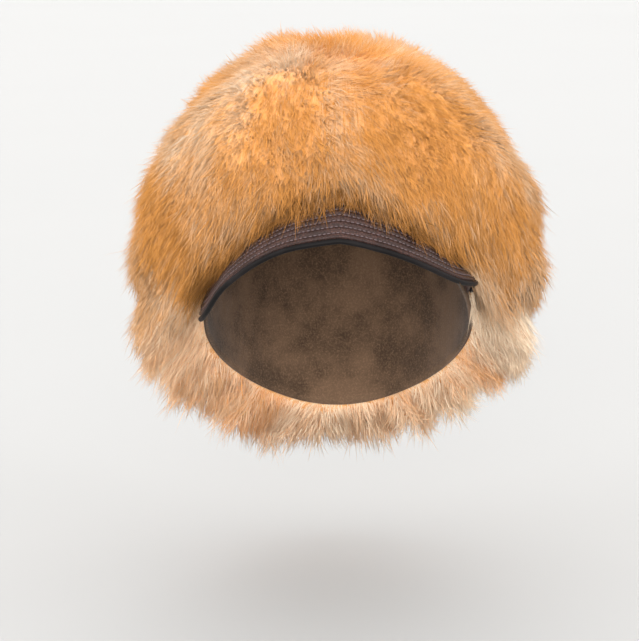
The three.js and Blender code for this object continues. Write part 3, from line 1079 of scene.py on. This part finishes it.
class Coat:
    """The undercoat's outside, and how the tufts that grow from it lie."""

    # The undercoat. A fade is the pair of places between which something comes in or goes.
    brow_thinning, thinning_fade = 0.25, (0, 0.35)  # it is thinner over the peak
    hem_round = 0.07  # share of the way down over which the hem is rounded
    hem_rounding = 0.3
    scallop_fade = (0.6, 0.95)

    # How the tufts are sown
    candidates, draws = 4, 5  # places kept for each tuft to choose from, and places drawn for each of those
    top_margin = 0.003  # keeps them off the very top, where all azimuths meet
    widest = 0.995  # quantile of the area round a place, over which more area brings no more tufts

    # How the tufts lie
    tuft_lean = 0.6  # how much more they droop than the undercoat under them
    tuft_share = 0.26  # how far they stand out of it, as a share of the hair's length
    combing = 0.9  # how much their tips bend along the coat
    top_combing, top_fade = 0.4, (0, 0.25)  # the share of that bend at the crown's top
    whorl, whorl_fade = math.radians(75), (0.1, 0.6)  # how far they turn aside round the crown's top
    brow_fade, brow_calm = (0, 0.3), 0.75  # over the peak they are combed more evenly
    brow_stretch = (0.3, 0.28)  # how much longer they are over the peak, and how unevenly
    hem_fade, hem_stretch = (0.85, 1), 0.35  # and how much longer at the hem
    hem_release, hem_turn = 0.75, 1.1  # on the hem's edge they turn out over it, from their own direction
    rim_fade = (0.8, 0.95)
    least_outward = (0.3, -0.1)  # beside the opening, for the tufts and for their tips

    # How the strands are lit: as the coat around them, more or less, with painted light at the hem and
    # painted shade over the peak
    softness, hem_softness, top_softness = 0.86, 0.15, 0.4
    softness_fade = (0.15, 0.5)
    skin_lie, brow_lie = 0.2, 2  # how much the skin counts in the coat's direction, and over the peak
    # Painted light: the strands at the hem are made lighter
    hem_painted_light = 0.7
    # Painted shade: the strands over the peak are darkened, the more the nearer the coat's edge, between
    # these azimuths
    fringe_shade, fringe_power = 3.3, 4
    fringe_fade = (0.6, 1)
    painted_shade_middle = math.radians(-5)
    painted_shade_turn = (math.radians(43), math.radians(57))

    def __init__(self, settings, cover, seed):
        self.settings = settings
        self.cover = cover
        self.rng = np.random.default_rng(seed)
        self.lumps = Swirl(self.rng, ((0.060, 0.040), (0.024, 0.026)), 1)
        self.scallops = Swirl(self.rng, ((0.030, 0.10),), 1)
        self.comb = Swirl(self.rng, ((0.085, 0.22), (0.030, 0.24)), 3)
        self.waves = Swirl(self.rng, ((0.020, 0.45),), 3)
        self.stain = Swirl(self.rng, ((0.050, 0.11), (0.017, 0.07)), 1)

    def thickness(self, azimuth, share, root):
        """How thick the undercoat is, as a share of the hair's length."""
        along = share * coat_edge_along(azimuth)
        brow = brow_at(azimuth, along, self.thinning_fade)
        rounded = np.clip((share - 1 + self.hem_round) / self.hem_round, 0, 1) ** 2
        thinned = self.settings.undercoat * (1 - self.brow_thinning * brow)
        uneven = self.lumps.at(root)[..., 0]
        uneven += self.scallops.at(root)[..., 0] * smoothstep(share, *self.scallop_fade) * (1 - brow)
        loft = 1 + uneven + field_at(root, LOFT_PATCHES)
        return thinned * loft * np.sqrt(1 - self.hem_rounding * rounded)

    def outside(self, azimuth, share, layer):
        """A point of the undercoat: layer is 1 on its outer face and 0 on the skin."""
        root, line = hair_at(azimuth, share * coat_edge_along(azimuth))
        reach = layer * self.thickness(azimuth, share, root)
        return self.cover.lifted(root + line * reach[..., None], self.cover.undercoat_gap)

    def dye_at(self, root):
        return DYE_BASE + field_at(root, DYE_PATCHES) + self.stain.at(root)[..., 0]

    def scattered(self, count):
        """Places spread by area over the undercoat's face and its hem: azimuth, share down and layer."""
        found = []
        step = 0.002  # from a place to its neighbours, which tell the area round it
        for on_face in (True, False):
            azimuth = self.rng.uniform(-math.pi, math.pi, self.draws * count)
            slide = self.rng.uniform(self.top_margin, 1, self.draws * count)
            share, layer = (slide, np.ones_like(slide)) if on_face else (np.ones_like(slide), slide)
            here = self.outside(azimuth, share, layer)
            turned = self.outside(azimuth + step, share, layer) - here
            higher = self.outside(azimuth, share - step * on_face, layer - step * (not on_face)) - here
            facing = np.cross(turned, higher) * (1 if on_face else -1)
            found.append((np.stack((azimuth, share, layer), 1), facing, here))
        places, facing, points = (np.concatenate(parts) for parts in zip(*found))
        area = np.linalg.norm(facing, axis=1)
        keep = np.flatnonzero(self.rng.uniform(0, np.quantile(area, self.widest), len(area)) < area)
        keep = self.rng.permutation(keep)[:count]
        return places[keep], points[keep], unit(facing[keep])

    def spaced_out(self, points, count):
        """Picks points, each as far as can be from those before it."""
        chosen = np.zeros(count, int)
        nearest = np.full(len(points), np.inf, np.float32)
        x, y, z = np.ascontiguousarray(points.T, np.float32)
        for i in range(1, count):
            last = chosen[i - 1]
            np.minimum(nearest, (x - x[last]) ** 2 + (y - y[last]) ** 2 + (z - z[last]) ** 2, out=nearest)
            chosen[i] = nearest.argmax()
        return chosen

    def hem_direction(self, azimuth, downward):
        """Along the skin, straight out over the opening's edge."""
        step = 0.01  # to either side, in radians
        before, after = (
            skin_point(turned, coat_edge_along(turned), SKIN_THICKNESS)
            for turned in (azimuth - step, azimuth + step)
        )
        outward = unit(np.cross(after - before, skin_normal(azimuth, coat_edge_along(azimuth))))
        return outward * np.sign((outward * downward).sum(1))[:, None]

    def tufts(self, count):
        """Everything that a tuft's strands share, one row for each tuft."""
        places, points, facing = self.scattered(self.candidates * count)
        chosen = self.spaced_out(points, count)
        azimuth, share, layer = places[chosen].T
        facing = facing[chosen]
        along = share * coat_edge_along(azimuth)
        root, line = hair_at(azimuth, along, self.tuft_lean)
        normal = skin_normal(azimuth, along)
        sideways = np.stack((np.cos(azimuth), np.sin(azimuth), 0 * azimuth), axis=1)
        downward = np.cross(sideways, normal)
        brow = brow_at(azimuth, along, self.brow_fade)
        hemmed = smoothstep(share, *self.hem_fade) * (1 - brow)
        turned = (1 - layer)[:, None]
        hem = self.hem_direction(azimuth, downward)
        axis = unit(unit(line) * (1 - self.hem_release * turned) + hem * turned * self.hem_turn)
        combed = self.combed(along, root, brow[:, None], sideways, downward)
        self.keep_out_of_the_opening(azimuth, share, root, (axis, combed))
        length = np.linalg.norm(line, axis=1) * self.tuft_share * (1 + field_at(root, LOFT_PATCHES))
        length *= 1 + brow * self.rng.normal(*self.brow_stretch, count) + self.hem_stretch * hemmed
        softness = blend(self.top_softness, self.softness, smoothstep(along, *self.softness_fade))
        softness = blend(softness, self.hem_softness, hemmed)[:, None]
        # Where, by azimuth, the painted shade over the peak falls
        fringe = 1 - smoothstep(np.abs(azimuth - self.painted_shade_middle), *self.painted_shade_turn)
        # The shade holds painted light at the hem and painted shade over the peak; the fringe share says
        # where that painted shade also turns the strands deeper orange
        return {
            "azimuth": azimuth,
            "along": along,
            "root": root,
            "base": points[chosen],
            "axis": axis,
            "bend": combed - facing * (combed * facing).sum(1)[:, None],
            "normal": unit(facing + normal * (self.skin_lie + self.brow_lie * brow[:, None])) * softness,
            "length": length,
            "brow": brow,
            "fringe": fringe * smoothstep(brow, *self.fringe_fade),
            "shade": self.hem_painted_light * hemmed - self.fringe_shade * fringe * brow**self.fringe_power,
        }

    def combed(self, along, root, brow, sideways, downward):
        """How the tufts' tips bend: down along the coat, aside round the crown's top, and unevenly."""
        turn = self.whorl * (1 - smoothstep(along, *self.whorl_fade))[:, None]
        combed = (downward * np.cos(turn) + sideways * np.sin(turn)) * self.combing
        combed *= blend(self.top_combing, 1, smoothstep(along, *self.top_fade))[:, None]
        curls = np.clip(field_at(root, CURL_PATCHES), 0, 1)[:, None]
        return combed + self.comb.at(root) * (1 - self.brow_calm * brow) + self.waves.at(root) * curls

    def keep_out_of_the_opening(self, azimuth, share, root, directions):
        """Turns the tufts, and then their tips, outwards near the hem on both sides of the opening."""
        turn = np.abs(azimuth)
        beside = smoothstep(turn, *OPENING_SIDE_START) * (1 - smoothstep(turn, *OPENING_SIDE_END))
        beside = beside * smoothstep(share, *self.rim_fade)
        outward = np.sign(root[:, 0])
        for direction, least in zip(directions, self.least_outward):
            short = np.clip(least - direction[:, 0] * outward, 0, None)
            direction[:, 0] += outward * short * beside


class HAT_OT_grow_fur(bpy.types.Operator):
    """Grows the coat: a dense undercoat, and locks of dyed strands that stand out of it"""

    bl_idname = "hat.grow_fur"
    bl_label = "Grow the fur"
    down_steps, turn_steps = 56, 128
    undercoat_share, undercoat_shade = 0.3, 0.5
    seed = 11
    front_end, back_start = math.radians(50), math.radians(130)  # of the crown's front and back pieces
    fringe_brow, fringe_density = 0.7, 2  # how much more pile hangs over the peak, and from where on
    wisp_brow, wisp_every = 0.5, 3  # wisps stand in every third tuft, and not over the peak
    aside = (0.31, 0.22, 0.93)  # hardly any tuft points this way, so it gives two directions across them
    pinch_power = 1.2  # how late a tuft's strands draw together
    most_curl = 2
    phase_spread = 0.4  # how much a tuft's curls differ, in radians
    dye_spread, shade_spread = (0.11, 0.07), (0.15, 0.12)  # what a tuft's strands share, and each one's own
    # How much deeper orange the strands are painted where the painted shade over the peak falls
    painted_shade_orange = 0.25
    middle_shade = 0.5
    width_span = (0.65, 1.3)

    def execute(self, context):
        settings = context.scene.hat_fur
        coat = Coat(settings, PeakCover(context.scene.hat_peak), self.seed)
        self.make_undercoat(settings, coat)
        material = fur_finish(settings)
        tufts = coat.tufts(settings.tufts)
        everywhere = np.arange(settings.tufts)
        loose = everywhere[(tufts["brow"] < self.wisp_brow) & (everywhere % self.wisp_every == 0)]
        fringe = everywhere[tufts["brow"] > self.fringe_brow]
        grown = [
            self.strands(coat, tufts, PILE, np.repeat(everywhere, settings.strands)),
            self.strands(coat, tufts, PILE, np.repeat(fringe, self.fringe_density * settings.strands)),
            self.strands(coat, tufts, FUZZ, np.repeat(everywhere, settings.fuzz)),
            self.strands(coat, tufts, WISPS, loose),
        ]
        for name, members in self.regions(tufts).items():
            node = name.rsplit("_", 1)[0]
            new_piece(name, joined_strands(name, grown, members), material, [node])
        return {"FINISHED"}

    def regions(self, tufts):
        """Which tufts belong to each piece of the coat."""
        azimuth, crown = tufts["azimuth"], tufts["along"] < 1
        front = np.abs(azimuth) < self.front_end
        back = np.abs(azimuth) > self.back_start
        left = azimuth < 0
        return {
            "crown_fur_front": crown & front,
            "crown_fur_back": crown & back,
            "crown_fur_left": crown & ~front & ~back & left,
            "crown_fur_right": crown & ~front & ~back & ~left,
            "flap_fur_left": ~crown & left,
            "flap_fur_right": ~crown & ~left,
        }

    def make_undercoat(self, settings, coat):
        bm = spun_shell((0, 1), self.down_steps, self.turn_steps)
        azimuth, share, _ = places_on_hat(bm)
        wrap_on_hat(bm, coat.outside)
        mesh = mesh_of(bm, "undercoat")
        uv = mesh.uv_layers.new(name="streaks")
        corners = np.zeros(len(mesh.loops), np.int32)
        mesh.loops.foreach_get("vertex_index", corners)
        turn = np.abs(azimuth) / math.pi
        uv.data.foreach_set("uv", np.stack((turn, share), 1)[corners].astype(np.float32).ravel())
        dye = coat.dye_at(skin_point(azimuth, share * coat_edge_along(azimuth), SKIN_THICKNESS))
        evenly = np.ones(len(dye))
        set_hair(mesh, self.undercoat_share * evenly, np.clip(dye, 0, 1), self.undercoat_shade * evenly)
        new_piece("undercoat", mesh, undercoat_finish(settings), ["crown_fur", "flap_fur"])

    def strands(self, coat, tufts, kind, owner):
        """Grows strands of one kind in their tufts: their paths, and what their shape and finish need."""
        rng = coat.rng
        count, tuft_count = len(owner), len(tufts["along"])

        def varied(spread):
            """Chance that a tuft's strands share, and chance of each strand's own."""
            return rng.normal(0, spread[0], tuft_count)[owner] + rng.normal(0, spread[1], count)

        axis = tufts["axis"][owner]
        across = unit(np.cross(axis, self.aside))
        other = np.cross(axis, across)
        offset = rng.normal(0, kind["spread"], (2, count, 1))
        offset = across * offset[0] + other * offset[1]
        length = tufts["length"][owner] * kind["stretch"] * (1 + varied(kind["uneven_length"]))
        lean = rng.normal(0, kind["tuft_lean"], (tuft_count, 3))[owner]
        bend = tufts["bend"][owner] + lean + rng.normal(0, kind["strand_lean"], (count, 3))
        steps = np.array(kind["steps"])
        s = steps[None, :, None]
        pinch = rng.uniform(*kind["pinch"], count)[:, None, None]
        path = (tufts["base"][owner] - axis * kind["sunk"])[:, None]
        path = path + offset[:, None] * (1 - pinch * s**self.pinch_power)
        stretched = (length + kind["sunk"]) / np.linalg.norm(axis + bend, axis=1)
        path = path + stretched[:, None, None] * (axis[:, None] * s + bend[:, None] * s**2)
        curl = np.clip(kind["curl"] + field_at(tufts["root"], CURL_PATCHES), 0, self.most_curl)[owner]
        phase = rng.uniform(0, 2 * math.pi, tuft_count)[owner] + rng.normal(0, self.phase_spread, count)
        angle = 2 * math.pi * kind["turns"] * steps[None] + phase[:, None]
        sway = (kind["sway"] * curl)[:, None] * steps[None]
        curled = across[:, None] * (sway * np.sin(angle))[..., None]
        curled += other[:, None] * (sway * np.cos(angle))[..., None]
        path = out_of_the_opening(path + curled)
        # The strands over the peak are painted deeper orange, as painted shade
        dye = coat.dye_at(tufts["root"]) + self.painted_shade_orange * tufts["fringe"]
        width = coat.settings.strand_width * kind["width"]
        grown = {
            "path": coat.cover.lifted(path, coat.cover.strand_gap),
            "owner": owner,
            "normal": tufts["normal"][owner],
            "dye": np.clip(dye[owner] + varied(self.dye_spread), 0, 1),
            # A strand's shade: chance round the middle, plus its tuft's painted light or painted shade
            "shade": np.clip(self.middle_shade + varied(self.shade_spread), 0, 1) + tufts["shade"][owner],
            "width": width * rng.uniform(*self.width_span, count),
        }
        keep = ~coat.cover.buried(path)
        return kind, {key: value[keep] for key, value in grown.items()}


def set_hair(mesh, share, dye, shade):
    """Keeps each point's share of the way to the tip, its dye and its shade for the material."""
    attribute = mesh.attributes.new("hair", "FLOAT_COLOR", "POINT")
    values = np.stack((share, dye, shade, np.ones(len(share))), axis=1)
    attribute.data.foreach_set("color", values.astype(np.float32).ravel())


def joined_strands(name, grown, members):
    """One mesh of the strands of every kind that grow in some of the tufts."""
    shapes = []
    start = 0
    for kind, facts in grown:
        here = members[facts["owner"]]
        shape = strand_shapes(kind, **{key: value[here] for key, value in facts.items() if key != "owner"})
        shape["triangles"] += start
        start += len(shape["points"])
        shapes.append(shape)
    whole = {key: np.concatenate([shape[key] for shape in shapes]) for key in shapes[0]}
    mesh = mesh_from(name, whole["points"], whole["triangles"])
    set_hair(mesh, whole["share"], whole["dye"], whole["shade"])
    normal = mesh.attributes.new("coat_normal", "FLOAT_VECTOR", "POINT")
    normal.data.foreach_set("vector", whole["normal"].astype(np.float32).ravel())
    uv = mesh.uv_layers.new(name="fibre")
    uv.data.foreach_set("uv", whole["flat"][whole["triangles"].ravel()].astype(np.float32).ravel())
    return mesh


def strand_shapes(kind, path, normal, dye, shade, width):
    """The points and faces of closed three-sided strands that taper to a tip along their paths."""
    ridge, base = 0.7, 0.35  # how far a strand's ridge and its flat lower side are from its path
    nudge = (0.01, 0.013, 0.017)  # gives a strand a side even where it stands straight up from the coat
    around, apart, again = 0.004, 0.013, 7  # round a strand and between two in the texture, which repeats
    count = len(path)
    segments = len(kind["steps"]) - 1
    ahead = unit(np.gradient(path, axis=1) + 1e-9)
    across = unit(np.cross(ahead, normal[:, None] + nudge))
    upward = np.cross(across, ahead)
    half = (width[:, None] * np.array(kind["taper"])[None] / 2)[..., None]
    below = upward * half * base
    ring = np.stack((across * half - below, -across * half - below, upward * half * ridge), 2)
    corners = path[:, :-1, None] + ring[:, :-1]
    vertices = np.concatenate((corners.reshape(count, 3 * segments, 3), path[:, -1:]), axis=1)
    per_strand = 3 * segments + 1
    faces = [(0, 1, 2)]
    for level in range(segments - 1):
        for side in range(3):
            a, b = 3 * level + side, 3 * level + (side + 1) % 3
            faces += [(b, a, a + 3), (b, a + 3, b + 3)]
    last = 3 * (segments - 1)
    faces += [(last + (side + 1) % 3, last + side, per_strand - 1) for side in range(3)]
    triangles = np.array(faces)[None] + per_strand * np.arange(count)[:, None, None]
    level_of = np.concatenate((np.repeat(np.arange(segments), 3), [segments]))
    share = np.tile(np.array(kind["steps"], float)[level_of], count)
    side_of = np.concatenate((np.tile(np.arange(3) / 3, segments), [0.5]))
    turn = (side_of[None] * around + np.arange(count)[:, None] * apart) % again
    return {
        "points": vertices.reshape(-1, 3),
        "triangles": triangles.reshape(-1, 3),
        "share": share,
        "dye": np.repeat(dye, per_strand),
        "shade": np.repeat(shade, per_strand),
        "normal": np.repeat(normal, per_strand, axis=0),
        "flat": np.stack((turn.ravel(), share), axis=1),
    }


class HAT_PT_workshop(bpy.types.Panel):
    """Lists the pieces of the hat and the sizes and colours that they are made from"""

    bl_label = "Sheepskin Hat"
    bl_idname = "HAT_PT_workshop"
    bl_space_type = "VIEW_3D"
    bl_region_type = "UI"
    bl_category = "Sheepskin Hat"

    def draw(self, context):
        for operator, group, names in STEPS:
            box = self.layout.box()
            box.operator(operator)
            for name in names:
                box.prop(getattr(context.scene, group), name)


STEPS = (
    ("hat.set_stage", "hat_stage", ("floor", "floor_height", "camera_distance", "camera_elevation")),
    ("hat.cut_skin", "hat_skin", ("suede", "thread", "stitch_pitch")),
    (
        "hat.sew_peak",
        "hat_peak",
        ("leather", "piping", "thickness", "piping_radius", "row_pitch", "stitch_pitch"),
    ),
    (
        "hat.grow_fur",
        "hat_fur",
        ("cream", "orange", "tufts", "strands", "fuzz", "strand_width", "undercoat"),
    ),
)
SETTINGS = {
    "hat_stage": StageSettings,
    "hat_skin": SkinSettings,
    "hat_peak": PeakSettings,
    "hat_fur": FurSettings,
}
CLASSES = (
    *SETTINGS.values(),
    HAT_OT_set_stage,
    HAT_OT_cut_skin,
    HAT_OT_sew_peak,
    HAT_OT_grow_fur,
    HAT_PT_workshop,
)


def register():
    for made in CLASSES:
        bpy.utils.register_class(made)
    for name, made in SETTINGS.items():
        setattr(bpy.types.Scene, name, PointerProperty(type=made))


def unregister():
    for name in SETTINGS:
        delattr(bpy.types.Scene, name)
    for made in reversed(CLASSES):
        bpy.utils.unregister_class(made)


def main():
    register()
    bpy.ops.hat.set_stage()
    bpy.ops.hat.cut_skin()
    bpy.ops.hat.sew_peak()
    bpy.ops.hat.grow_fur()


if __name__ == "__main__":
    main()
